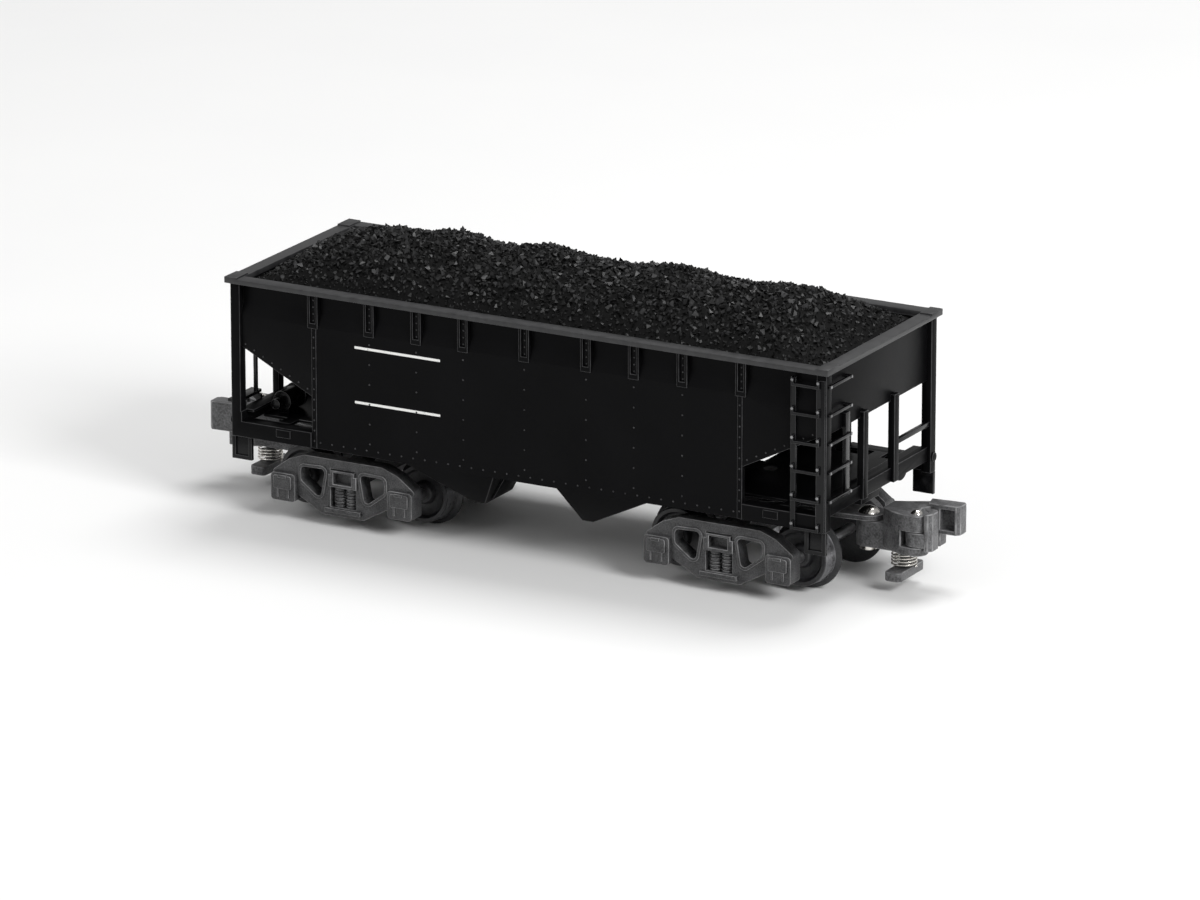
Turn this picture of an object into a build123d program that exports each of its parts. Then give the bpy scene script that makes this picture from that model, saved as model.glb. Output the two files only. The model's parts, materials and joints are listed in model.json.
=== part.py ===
"""A twin-bay open hopper car for 22.42 mm gauge track, with trucks, knuckle couplers and a load of coal.

Units are millimetres. The origin is under the middle of the car, at the level of the wheel flanges' lowest
points. +X runs along the car, +Y across it and +Z up. End "a" is the +X end and end "b" the -X end.
"""

from build123d import *
from math import atan2, cos, sin
import os

os.makedirs("parts", exist_ok=True)

# ---------------------------------------------------------------- driving dimensions
# Body
rim_length = 145.0        # over the top rim, along the car
rim_width = 52.4          # over the top rim, across the car
rim_top = 53.0            # top of the rim above the flanges' lowest point
rim_thickness = 1.1
rim_band = 3.2            # flat width of the rim
end_overhang = 0.8        # rim beyond the posts, at the ends
side_overhang = 1.1       # rim beyond the posts, at the sides
cap_height = 0.3          # raised corner caps on the rim
cap_size = (3.0, 5.0)     # corner caps, along and across the car
wall = 1.2                # moulded wall of the shell
post_width = 2.3          # square corner posts
sheet_recess = 0.5        # side sheets lie this far behind the corner posts
end_recess = 1.1          # end sheets lie this far behind the corner posts
strip_inset = 1.0         # the top strip of the side steps in by this much
strip_height = 4.2        # height of the top strip under the rim
strip_slope = 2.8         # height over which the side comes out again
sill_bottom = 17.7
sill_height = 3.5
end_sheet_bottom = 38.0
slope_inset = 1.0         # the slope sheet's underside meets the end sheet this far inside its face
panel_setback = 19.8      # the side panel's ends at the sill, from the posts' outer faces
bay_bottom = 10.2
bay_outlet = (11.8, 14.4)  # the flat bottom of a hopper bay
bay_inner_top = 7.6       # the steep sheet crosses the sill's lower edge here
bay_tuck = 3.8            # the bays' sides lean in by this much at the bottom
ridge_top = 25.2          # top of the ridge between the bays, underside
tunnel_half = 9.0         # half width of the passage for the centre sill
stake_positions = (0.0, 14.8, 26.2, 37.7)
end_stake_setback = 0.4   # the last stake's middle, from the panel's end
stake_width = 2.5
stake_proud = 0.3
stake_groove = (1.3, 0.5)  # width and depth of a stake's channel
seam_width = 1.2
seam_proud = 0.15

# End frames, ladders and steps
end_sill_bottom = 20.3
end_sill_top = 23.4
end_sill_thickness = 1.7
end_post_y = 7.0
end_post_size = (1.6, 2.1)
end_post_top = 39.5
rung_pitch = 6.2
rung_top = 49.4
rung_size = 0.6
side_rungs = 6
end_rungs = 5
ladder_span = 5.9         # from the inner stile's inner face to the corner post
stile_width = 1.2
end_stile_setback = 9.8   # from the posts' outer faces
grab_height = 28.6
step_depth = 5.0
step_width = 4.9
step_bar = 0.9
step_plate = 0.4          # thickness of a step's plate behind its rim

# Underframe and running gear
centre_sill_width = 8.0
truck_setback = 26.2      # from the posts' outer faces to the king pin
body_bolster_width = 7.0
centre_plate_diameter = 11.0
wheelbase = 28.8
track_gauge = 22.42
gauge_slack = 1.02        # how much further apart the rails are than the wheels' flange roots
tread_diameter = 13.1
flange_depth = 1.2
flange_width = 1.2
flange_root = 0.3         # the fillet between the flange and the tread
wheel_width = 5.2
axle_diameter = 2.4
journal_diameter = 1.4
running_clearance = 0.05  # radial, on every turning fit
gap = 0.2                 # between bodies that move past each other
frame_inner = 19.4        # sideframes' inner faces
frame_thickness = 3.4
box_proud = 1.0           # journal boxes stand this far out of the sideframes
frame_top = 15.2
frame_bottom = 2.6
bolster_half = 2.9        # half the truck bolster's width along the car
bolster_bottom = 9.2
bolster_end_height = 3.7
truck_plate_top = 15.6
screw_diameter = 3.0
screw_head = (5.0, 1.3)

# Couplers, measured from the truck's king pin
rivet_x = 23.4
rivet_diameter = 2.4
rivet_head = (4.6, 1.3)
tongue_thickness = 1.1
tongue_top = 15.3
shank_bottom = 8.2
shank_half = 2.6
head_top = 17.6
head_bottom = 8.8
knuckle_pin_x = 36.1
knuckle_pin_y = -3.0
knuckle_pin_diameter = 1.5
knuckle_hub = 2.3
knuckle_gap = (10.6, 14.0)
knuckle_nose = (10.0, 18.2)
lift_pin_x = 31.8
lift_pin_diameter = 1.9
lift_travel = 1.2
spring_height = 3.6
spring_diameter = 5.6
spring_wire = 0.45
spring_turns = 4.5
foot_size = (3.8, 11.4, 2.0)

# Load
load_gap = 0.3            # around the load insert
load_bottom = 46.0
load_edge = 52.2
load_peak = 62.0

# ---------------------------------------------------------------- worked-out places
half_length = rim_length / 2 - end_overhang      # outer faces of the posts
half_width = rim_width / 2 - side_overhang
rim_bottom = rim_top - rim_thickness
side_face = half_width - sheet_recess
side_inner = side_face - wall
end_face = half_length - end_recess
end_inner = end_face - wall
post_x = half_length - post_width                # inner faces of the corner posts
post_y = half_width - post_width
strip_bottom = rim_bottom - strip_height
side_top = strip_bottom - strip_slope
sill_top = sill_bottom + sill_height
panel_half = half_length - panel_setback
slope_top_x = end_face - slope_inset
ladder_stile_x = post_x - ladder_span
end_stile_y = half_width - end_stile_setback
slope_rate = (end_sheet_bottom - bay_bottom) / (slope_top_x - bay_outlet[1])
slope_wall = wall / cos(atan2(slope_rate, 1))
steep_rate = (sill_bottom - bay_bottom) / (bay_outlet[0] - bay_inner_top)
steep_wall = wall / sin(atan2(steep_rate, 1))
truck_x = half_length - truck_setback
axle_height = tread_diameter / 2 + flange_depth
frame_outer = frame_inner + frame_thickness
box_front = frame_outer + box_proud
wheel_inner = (track_gauge - gauge_slack) / 2 - (flange_width + flange_root)
wheel_outer = wheel_inner + wheel_width
shank_top = tongue_top - tongue_thickness - gap
end_sill_x = (half_length - 0.8 - end_sill_thickness, half_length - 0.8)
foot_top = shank_bottom - spring_height


def slope_z(x):
    """Height of the slope sheet's underside at a distance x from the middle of the car."""
    return bay_bottom + (x - bay_outlet[1]) * slope_rate


def slope_x(z):
    """Distance from the middle of the car at which the slope sheet's underside has a height z."""
    return bay_outlet[1] + (z - bay_bottom) / slope_rate


def steep_x(z):
    """Distance from the middle at which a bay's steep sheet has a height z, on its underside."""
    return bay_outlet[0] - (z - bay_bottom) / steep_rate


def block(x, y, z, mode=Mode.ADD):
    """A box from its low and high limits along each axis."""
    with Locations(((x[0] + x[1]) / 2, (y[0] + y[1]) / 2, (z[0] + z[1]) / 2)):
        Box(x[1] - x[0], y[1] - y[0], z[1] - z[0], mode=mode)


def prism(points, plane, amount, mode=Mode.ADD):
    """A straight-sided outline, drawn on a plane and extruded along its normal."""
    with BuildSketch(plane) as outline:
        with BuildLine():
            Polyline(*points, close=True)
        make_face()
    extrude(outline.sketch, amount=amount, mode=mode)


def side_prism(points, y, mode=Mode.ADD):
    """An outline seen from the side (x, z), from y[0] to y[1] across the car."""
    prism(points, Plane.XZ.offset(-y[1]), y[1] - y[0], mode)


def end_prism(points, x, mode=Mode.ADD):
    """An outline seen from the end (y, z), from x[0] to x[1] along the car."""
    prism(points, Plane.YZ.offset(x[0]), x[1] - x[0], mode)


def upright(x, y, z, diameter, mode=Mode.ADD):
    """An upright cylinder at x, y from z[0] to z[1]."""
    with Locations((x, y, (z[0] + z[1]) / 2)):
        Cylinder(diameter / 2, z[1] - z[0], mode=mode)


def across(x, y, z, diameter, mode=Mode.ADD):
    """A cylinder that lies across the car, from y[0] to y[1]."""
    with Locations((x, (y[0] + y[1]) / 2, z)):
        Cylinder(diameter / 2, y[1] - y[0], rotation=(90, 0, 0), mode=mode)


def save(name, part):
    """Label a finished piece and write its file."""
    part.label = name
    export_step(part, f"parts/{name}.step")


# ---------------------------------------------------------------- body shell
ledge_setback = 10.0      # the ledges end this far inside the slope sheet's upper edge
# One leaning side wall of a hopper bay, cut to the bay's outline.
with BuildPart() as bay_side:
    overlap = 0.5
    side_prism(
        [(slope_x(sill_bottom), sill_bottom), (bay_outlet[1], bay_bottom), (bay_outlet[0], bay_bottom),
         (bay_inner_top, sill_bottom), (bay_inner_top, sill_bottom + overlap),
         (slope_x(sill_bottom), sill_bottom + overlap)],
        (side_inner - bay_tuck - overlap, side_face + overlap),
    )
    end_prism(
        [(side_face, sill_bottom + overlap), (side_face, sill_bottom), (side_face - bay_tuck, bay_bottom),
         (side_inner - bay_tuck, bay_bottom), (side_inner, sill_bottom),
         (side_inner, sill_bottom + overlap)],
        (0, panel_half),
        Mode.INTERSECT,
    )

with BuildPart() as body_shell:
    # Side sheet below the offset, with its slope at each end and the panel between.
    corner = slope_z(panel_half)
    side_prism(
        [(post_x, side_top), (post_x, slope_z(post_x)), (panel_half, corner), (panel_half, sill_bottom),
         (-panel_half, sill_bottom), (-panel_half, corner), (-post_x, slope_z(post_x)),
         (-post_x, side_top)],
        (side_inner, side_face),
    )
    # The offset and the top strip under the rim.
    end_prism(
        [(side_face, side_top), (side_face - strip_inset, strip_bottom),
         (side_face - strip_inset, rim_bottom), (side_inner - strip_inset, rim_bottom),
         (side_inner - strip_inset, strip_bottom), (side_inner, side_top)],
        (-post_x, post_x),
    )
    reach = side_inner + wall / 2
    for end in (-1, 1):
        # End sheet and slope sheet.
        block(sorted((end * end_inner, end * end_face)), (0, post_y), (end_sheet_bottom, rim_bottom))
        side_prism(
            [(end * end_face, slope_z(end_face)), (end * bay_outlet[1], bay_bottom),
             (end * bay_outlet[0], bay_bottom), (end * bay_outlet[0], bay_bottom + wall),
             (end * bay_outlet[1], bay_bottom + slope_wall),
             (end * end_face, slope_z(end_face) + slope_wall)],
            (0, reach),
        )
        # Wall between a bay's outlet and the passage for the centre sill.
        side_prism(
            [(end * bay_outlet[1], bay_bottom), (end * slope_x(sill_top + wall), sill_top + wall),
             (end * steep_x(sill_top + wall), sill_top + wall), (end * bay_outlet[0], bay_bottom)],
            (tunnel_half, tunnel_half + wall),
        )
    # The ridge between the bays, with its two steep sheets.
    side_prism(
        [(-bay_outlet[0], bay_bottom), (-steep_x(ridge_top), ridge_top), (steep_x(ridge_top), ridge_top),
         (bay_outlet[0], bay_bottom), (bay_outlet[0] + steep_wall, bay_bottom),
         (steep_x(ridge_top + wall) + steep_wall, ridge_top + wall),
         (-steep_x(ridge_top + wall) - steep_wall, ridge_top + wall),
         (-bay_outlet[0] - steep_wall, bay_bottom)],
        (0, reach),
    )
    # Roof of the passage, then the passage itself.
    roof_end = slope_x(sill_top + wall)
    block((-roof_end, roof_end), (0, tunnel_half + wall), (sill_top, sill_top + wall))
    block((-panel_half, panel_half), (0, tunnel_half), (0, sill_top), Mode.SUBTRACT)
    # The bays lean in below the sill.
    end_prism(
        [(side_face, sill_bottom), (side_face - bay_tuck, bay_bottom), (side_face - bay_tuck, 0),
         (rim_width, 0), (rim_width, sill_bottom)],
        (-panel_half, panel_half),
        Mode.SUBTRACT,
    )
    add(bay_side.part)
    add(mirror(bay_side.part, about=Plane.YZ, mode=Mode.PRIVATE))
    # Ledges that the load rests above.
    block(
        (ledge_setback - slope_top_x, slope_top_x - ledge_setback),
        (side_inner - strip_inset - wall, side_inner + wall / 2),
        (load_bottom - gap - wall, load_bottom - gap),
    )
    # Seams at the ends of the panel.
    for end in (-1, 1):
        seam = end * (panel_half - seam_width / 2)
        block((seam - seam_width / 2, seam + seam_width / 2), (side_inner, side_face + seam_proud),
              (sill_bottom, side_top))
    # Stakes, each a shallow channel open outwards.
    for place in (*stake_positions, panel_half - end_stake_setback):
        for x in {place, -place}:
            stake_face = side_face + stake_proud
            half, groove_half = stake_width / 2, stake_groove[0] / 2
            block((x - half, x + half), (side_inner - strip_inset / 2, stake_face),
                  (side_top - wall / 2, rim_bottom))
            block((x - groove_half, x + groove_half), (stake_face - stake_groove[1], stake_face),
                  (side_top + wall / 2, rim_bottom), Mode.SUBTRACT)
    mirror(about=Plane.XZ)
    # Top rim and its corner caps.
    with BuildSketch(Plane.XY.offset(rim_bottom)) as rim:
        Rectangle(rim_length, rim_width)
        Rectangle(rim_length - 2 * rim_band, rim_width - 2 * rim_band, mode=Mode.SUBTRACT)
    extrude(amount=rim_thickness)
    with BuildSketch(Plane.XY.offset(rim_top)) as caps:
        with GridLocations(rim_length - cap_size[0], rim_width - cap_size[1], 2, 2):
            Rectangle(*cap_size)
    extrude(amount=cap_height)
    # Room for the corner posts.
    for end in (-1, 1):
        for side in (-1, 1):
            block(sorted((end * post_x, end * half_length)), sorted((side * post_y, side * half_width)),
                  (0, rim_bottom), Mode.SUBTRACT)
save("body_shell", body_shell.part)

# ---------------------------------------------------------------- hopper doors
# A ribbed plate on the outside of each bay's steep sheet, one each side of the centre sill.
door_thickness = 0.5
door_margin = 0.8
door_bottom = bay_bottom + door_margin
door_top = sill_bottom - door_margin
with BuildPart() as hopper_doors:
    for end in (-1, 1):
        for side in (-1, 1):
            low, high = tunnel_half + wall + door_margin, side_inner - bay_tuck - door_margin
            side_prism(
                [(end * steep_x(door_bottom), door_bottom), (end * steep_x(door_top), door_top),
                 (end * (steep_x(door_top) - door_thickness), door_top),
                 (end * (steep_x(door_bottom) - door_thickness), door_bottom)],
                sorted((side * low, side * high)),
            )
save("hopper_doors", hopper_doors.part)

# ---------------------------------------------------------------- underframe
member_width = 3.0        # cross member behind each end sill
member_inset = 3.5        # from the car's side
deck_depth = 0.7
deck_half = 18.0
deck_x = (truck_x + body_bolster_width / 2, post_x - 1.4)
with BuildPart() as underframe:
    centre_end = end_sill_x[0]
    block((-centre_end, centre_end), (-centre_sill_width / 2, centre_sill_width / 2),
          (sill_bottom, sill_top))
    for end in (-1, 1):
        x = end * truck_x
        block((x - body_bolster_width / 2, x + body_bolster_width / 2), (-side_inner, side_inner),
              (sill_bottom, sill_top))
        upright(x, 0, (truck_plate_top + gap, sill_bottom), centre_plate_diameter)
        # Cross member behind the end sill.
        member = end * (panel_half + post_x) / 2
        block((member - member_width / 2, member + member_width / 2),
              (-half_width + member_inset, half_width - member_inset), (sill_top - deck_depth, sill_top))
        upright(x, 0, (0, sill_top), screw_diameter, Mode.SUBTRACT)
        # Deck under the slope sheet. The one at end b carries the brake gear.
        block(sorted((end * deck_x[0], end * deck_x[1])), (-deck_half, deck_half),
              (sill_top - deck_depth, sill_top))
save("underframe", underframe.part)

# ---------------------------------------------------------------- end frame
lug_y = 11.0
lug_radius = 3.0
pad_x = half_length - 12.9
pad_size = (3.6, 1.8)
lug_drop = 1.0
eye_diameter = 2.0
sill_web = 1.1            # thickness of the side sill's web
flange_reach = 3.5
pad_height = 1.3          # of the jacking pad above the sill's lower edge
pad_proud = 0.2
shelf_reach = 1.6         # the end sill's top flange, inwards
shelf_depth = 0.6
boss_depth = 0.8
with BuildPart() as end_frame:
    for side in (-1, 1):
        # Corner post.
        block((post_x, half_length), sorted((side * post_y, side * half_width)), (sill_bottom, rim_bottom))
        # Side sill from the panel to the corner post: a web, a flange turned inwards and a jacking pad.
        block((panel_half, post_x), sorted((side * (half_width - sill_web), side * half_width)),
              (sill_bottom, sill_top))
        block((panel_half, post_x), sorted((side * (half_width - flange_reach), side * half_width)),
              (sill_top - deck_depth, sill_top))
        block((pad_x - pad_size[0] / 2, pad_x + pad_size[0] / 2),
              sorted((side * half_width, side * (half_width + pad_proud))),
              (sill_bottom + pad_height, sill_bottom + pad_height + pad_size[1]))
        # End post, its foot at the end sill and its head on the end sheet.
        y = side * end_post_y
        end_post = (y - end_post_size[1] / 2, y + end_post_size[1] / 2)
        block((half_length - end_post_size[0], half_length), end_post, (end_sill_bottom, end_sheet_bottom))
        block((end_face, half_length), end_post, (end_sheet_bottom, end_post_top))
    block(end_sill_x, (-half_width, half_width), (end_sill_bottom, end_sill_top))
    block((end_sill_x[0] - shelf_reach, end_sill_x[1]), (-post_y, post_y),
          (end_sill_top - shelf_depth, end_sill_top))
    # Rounded lug under the end sill, and an eye boss at the corner.
    with BuildSketch(Plane.YZ.offset(end_sill_x[0])) as lug:
        with Locations((lug_y, end_sill_bottom - lug_drop + lug_radius)):
            Circle(lug_radius)
        with Locations((lug_y, end_sill_top + lug_radius)):
            Rectangle(4 * lug_radius, 2 * lug_radius, mode=Mode.SUBTRACT)
    extrude(amount=end_sill_thickness)
    with Locations((half_length, half_width - post_width / 2, end_sill_bottom + boss_depth)):
        Cylinder(eye_diameter / 2, boss_depth, rotation=(0, 90, 0))

# ---------------------------------------------------------------- ladders, grab bar and steps
rung_heights = [rung_top - step * rung_pitch for step in range(side_rungs)]
lug_rise = 1.2            # a drop rung's fixing lugs rise this far above its top
strip_proud = 0.3         # thickness of the flat strips that carry the rungs
stile_rise = 3.4          # the end ladder's stile overlaps the end sheet by this much
grab_reach = (1.4, 0.3)   # the grab bar's faces, in from the posts' outer faces
grab_thickness = 1.0
ladder_face = half_width + strip_proud
with BuildPart() as side_ladder:
    stile = (ladder_stile_x, ladder_stile_x + stile_width)
    ladder_top = rung_top + lug_rise
    block(stile, (-ladder_face, -half_width), (sill_bottom, ladder_top))
    block(stile, (-half_width, -side_face), (sill_top, ladder_top))
    # The other stile is a flat strip on the corner post.
    strip = (post_x + 0.1, half_length - 0.2)
    block(strip, (-ladder_face, -half_width), (sill_bottom, ladder_top))
    for height in rung_heights:
        # A drop rung: the bar hangs a little below its two fixing lugs.
        bar = (-ladder_face - rung_size, -ladder_face)
        block((stile[0] + rung_size / 2, strip[0] + 1.5 * rung_size), bar, (height - rung_size, height))
        for x in (stile[0] + rung_size, strip[0] + rung_size):
            block((x - rung_size / 2, x + rung_size / 2), bar, (height - rung_size, height + lug_rise))

with BuildPart() as end_ladder:
    stile_top = end_sheet_bottom + stile_rise
    stile = (-end_stile_y - 1.5 * rung_size, -end_stile_y + 1.5 * rung_size)
    block((end_face, half_length), stile, (end_sheet_bottom, stile_top))
    block((end_sill_x[1], half_length), stile, (end_sill_top, end_sheet_bottom))
    for height in rung_heights[:end_rungs]:
        block((half_length, half_length + rung_size), (-half_width + rung_size, stile[1]),
              (height - rung_size, height))
        if height > stile_top:
            block((end_face, half_length), (stile[0] + rung_size, stile[1]), (height - rung_size, height))

with BuildPart() as end_grab:
    block((half_length - grab_reach[0], half_length - grab_reach[1]),
          (end_post_y + end_post_size[1] / 2, post_y),
          (grab_height - grab_thickness / 2, grab_height + grab_thickness / 2))
save("end_grab_a", end_grab.part)

# One step hangs under each corner: a thin plate with a raised rim on its sides and foot.
with BuildPart() as corner_steps:
    for end in (-1, 1):
        for side in (-1, 1):
            inner, outer = half_length - step_width, half_length
            tread_z = sill_bottom - step_depth
            plate_back = half_width - step_bar
            block(sorted((end * inner, end * outer)),
                  sorted((side * plate_back, side * (plate_back + step_plate))), (tread_z, sill_bottom))
            outline = [
                (inner, sill_bottom), (inner, tread_z), (outer, tread_z), (outer, sill_bottom),
                (outer - step_bar, sill_bottom), (outer - step_bar, tread_z + step_bar),
                (inner + step_bar, tread_z + step_bar), (inner + step_bar, sill_bottom),
            ]
            side_prism([(end * x, z) for x, z in outline],
                       sorted((side * (half_width - step_bar), side * half_width)))
save("corner_steps", corner_steps.part)

# ---------------------------------------------------------------- brake gear at end b
brake_x = 7.1 - half_length
brake_z = 24.0
cylinder_body = (-16.0, -10.4, 4.4)     # low y, high y and diameter
cylinder_cap = (-10.4, -9.6, 5.4)
cylinder_nose = (-18.8, -16.0, 2.2)
cylinder_foot = (-15.4, -11.0, 2.4)     # low y, high y and width along the car
with BuildPart() as brake_cylinder:
    block((brake_x - cylinder_foot[2] / 2, brake_x + cylinder_foot[2] / 2), cylinder_foot[:2],
          (sill_top, brake_z))
    for low, high, diameter in (cylinder_body, cylinder_cap, cylinder_nose):
        across(brake_x, (low, high), brake_z, diameter)
save("brake_cylinder", brake_cylinder.part)

reservoir_x = 11.7 - half_length
reservoir_half = 6.0
reservoir_diameter = 5.0
reservoir_foot = (2.8, 10.0)            # along and across the car
reservoir_rounding = 0.8
with BuildPart() as brake_reservoir:
    block((reservoir_x - reservoir_foot[0] / 2, reservoir_x + reservoir_foot[0] / 2),
          (-reservoir_foot[1] / 2, reservoir_foot[1] / 2), (sill_top, brake_z))
    across(reservoir_x, (-reservoir_half, reservoir_half), brake_z, reservoir_diameter)
    ends = brake_reservoir.edges().filter_by(GeomType.CIRCLE).group_by(Axis.Y)
    fillet(ends[0] + ends[-1], reservoir_rounding)
save("brake_reservoir", brake_reservoir.part)

hand_brake_y = 10.1 - half_width
hand_brake_z = 43.5
wheel_diameter = 8.4
wheel_rim = 0.8
wheel_depth = 0.7
wheel_hub = 1.8
wheel_spokes = 3          # full-width bars, so twice as many spokes
housing_depth = 1.5
housing_size = (4.4, 5.2)
rod_size = 0.8            # the chain rod runs down to the brake step
board_rise = (0.8, 1.5)   # the brake step's faces above the end sill
with BuildPart() as hand_brake_housing:
    housing_face = -end_face - housing_depth
    housing_bottom = hand_brake_z - housing_size[1] / 2
    block((housing_face, -end_face),
          (hand_brake_y - housing_size[0] / 2, hand_brake_y + housing_size[0] / 2),
          (housing_bottom, housing_bottom + housing_size[1]))
    block((housing_face, housing_face + rod_size),
          (hand_brake_y - rod_size / 2, hand_brake_y + rod_size / 2),
          (end_sill_top + board_rise[1], housing_bottom))
save("hand_brake_housing", hand_brake_housing.part)

stem = 0.5                # between the housing and the wheel
with BuildPart() as hand_brake_wheel:
    with BuildSketch(Plane.YZ.offset(housing_face - stem - wheel_depth)) as wheel_sketch:
        with Locations((hand_brake_y, hand_brake_z)):
            Circle(wheel_diameter / 2)
            Circle(wheel_diameter / 2 - wheel_rim, mode=Mode.SUBTRACT)
            Circle(wheel_hub / 2)
            for spoke in range(wheel_spokes):
                Rectangle(wheel_diameter - wheel_rim, wheel_rim * 0.75, rotation=180 * spoke / wheel_spokes)
    extrude(amount=wheel_depth)
    with Locations((housing_face - stem / 2, hand_brake_y, hand_brake_z)):
        Cylinder(wheel_hub / 2, stem, rotation=(0, 90, 0))
save("hand_brake_wheel", hand_brake_wheel.part)

board_y = (2.7 - half_width, 12.5 - half_width)
board_reach = 2.6         # out from the posts' faces
bracket_inset = 0.4
bracket_drop = 1.6
with BuildPart() as brake_step:
    board = [end_sill_top + rise for rise in board_rise]
    block((-half_length - board_reach, -half_length), board_y, board)
    for y in (board_y[0] + 2 * bracket_inset, board_y[1] - 3.5 * bracket_inset):
        side_prism(
            [(-end_sill_x[1], end_sill_top - bracket_drop), (-end_sill_x[1], board[0]),
             (-half_length - board_reach + bracket_inset, board[0])],
            (y - bracket_inset, y + bracket_inset),
        )
save("brake_step", brake_step.part)

# ---------------------------------------------------------------- ballast, screws and load
ballast_size = (70.0, 32.0, 2.4)
with BuildPart() as ballast_weight:
    block((-ballast_size[0] / 2, ballast_size[0] / 2), (-ballast_size[1] / 2, ballast_size[1] / 2),
          (ridge_top + wall, ridge_top + wall + ballast_size[2]))
save("ballast_weight", ballast_weight.part)

with BuildPart() as truck_screw:
    head_z = bolster_bottom - gap
    upright(truck_x, 0, (head_z, sill_top), screw_diameter)
    upright(truck_x, 0, (head_z - screw_head[1], head_z), screw_head[0])

load_half_length = end_inner - load_gap
load_half_width = side_inner - strip_inset - load_gap
load_end = load_edge + 2.0
load_valley = load_peak - 1.4
with BuildPart() as coal_load:
    # Four heaps along the car, arched across it.
    hump = load_half_length / 4
    with BuildSketch(Plane.XZ.offset(-load_half_width)) as heaps:
        with BuildLine():
            Spline(
                (-load_half_length, load_end), (-3 * hump, load_peak), (-2 * hump, load_valley),
                (-hump, load_peak), (0, load_valley), (hump, load_peak), (2 * hump, load_valley),
                (3 * hump, load_peak), (load_half_length, load_end),
            )
            Polyline((load_half_length, load_end), (load_half_length, load_bottom),
                     (-load_half_length, load_bottom), (-load_half_length, load_end))
        make_face()
    extrude(amount=2 * load_half_width)
    with BuildSketch(Plane.YZ.offset(-load_half_length)) as arch:
        with BuildLine():
            ThreePointArc((-load_half_width, load_edge), (0, load_peak + 1), (load_half_width, load_edge))
            Polyline((load_half_width, load_edge), (load_half_width, load_bottom),
                     (-load_half_width, load_bottom), (-load_half_width, load_edge))
        make_face()
    extrude(amount=2 * load_half_length, mode=Mode.INTERSECT)
save("coal_load", coal_load.part)

# ---------------------------------------------------------------- truck a
frame_plane = Plane((truck_x, -frame_inner, 0), x_dir=(1, 0, 0), z_dir=(0, -1, 0))
face_plane = Plane((truck_x, -frame_outer, 0), x_dir=(1, 0, 0), z_dir=(0, -1, 0))
window_half = bolster_half + gap
window_top = bolster_bottom + bolster_end_height + gap
spring_seat = 4.6
box_half = 3.0
box_bottom = axle_height - 3.3
box_top = axle_height + 2.9
journal_x = wheelbase / 2
journal_tip = frame_inner + 2.2
rim_moulding = (0.7, 0.3)
opening = [(10.3, 12.6), (4.3, 12.8), (5.5, 6.0), (10.3, 9.6)]
opening_radius = 0.9
frame_radius = 0.8
foot_half = 5.0           # half the length of the sideframe's lower edge
arch_half = 9.6           # half the length of its upper edge
shoulder = (13.4, frame_top - 1.4)
box_lip = 0.2             # the sideframe runs this far above the journal boxes
tail_drop = 1.6           # the frame's lower corners at the boxes, below the axle's middle
seat_half = 4.4
seat_lip = (0.5, 0.2, 1.2)  # how far the spring seat's lip stands out, and its faces below the seat
coils = 6
coil_place = (1.45, 1.5)  # a coil spring's middle: from the window's middle, and in from the frame's face
coil_core = 2.0
coil_outer = 2.6
coil_share = 0.6          # of each coil's pitch
lid = (4.4, 3.0, 0.9, 0.35)  # width, height, middle above the axle, thickness
lid_radius = 0.5
hinge = (1.0, 0.6, 1.0, 0.3)  # half width, reach, and its faces below the box's top
rib = (1.3, 0.5, 0.25)    # a box's two ribs: place from its middle, width and height
journal_room = 0.3        # past the journal's tip
gib = (3.5, 2.8)          # half width and height of the bolster's gibs
gib_hollow = (2.2, 1.8, 0.7, 0.5)  # half width, depth, and its edges inside the bolster's end


def mirrored(points):
    """The same outline on the other side of the truck's middle."""
    return [(-x, z) for x, z in points]


def rounded(points, radius):
    """A closed outline with its corners rounded, in the sketch being drawn."""
    with BuildSketch(mode=Mode.PRIVATE) as shape:
        with BuildLine():
            Polyline(*points, close=True)
        make_face()
        fillet(shape.vertices(), radius)
    return shape.sketch


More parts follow.
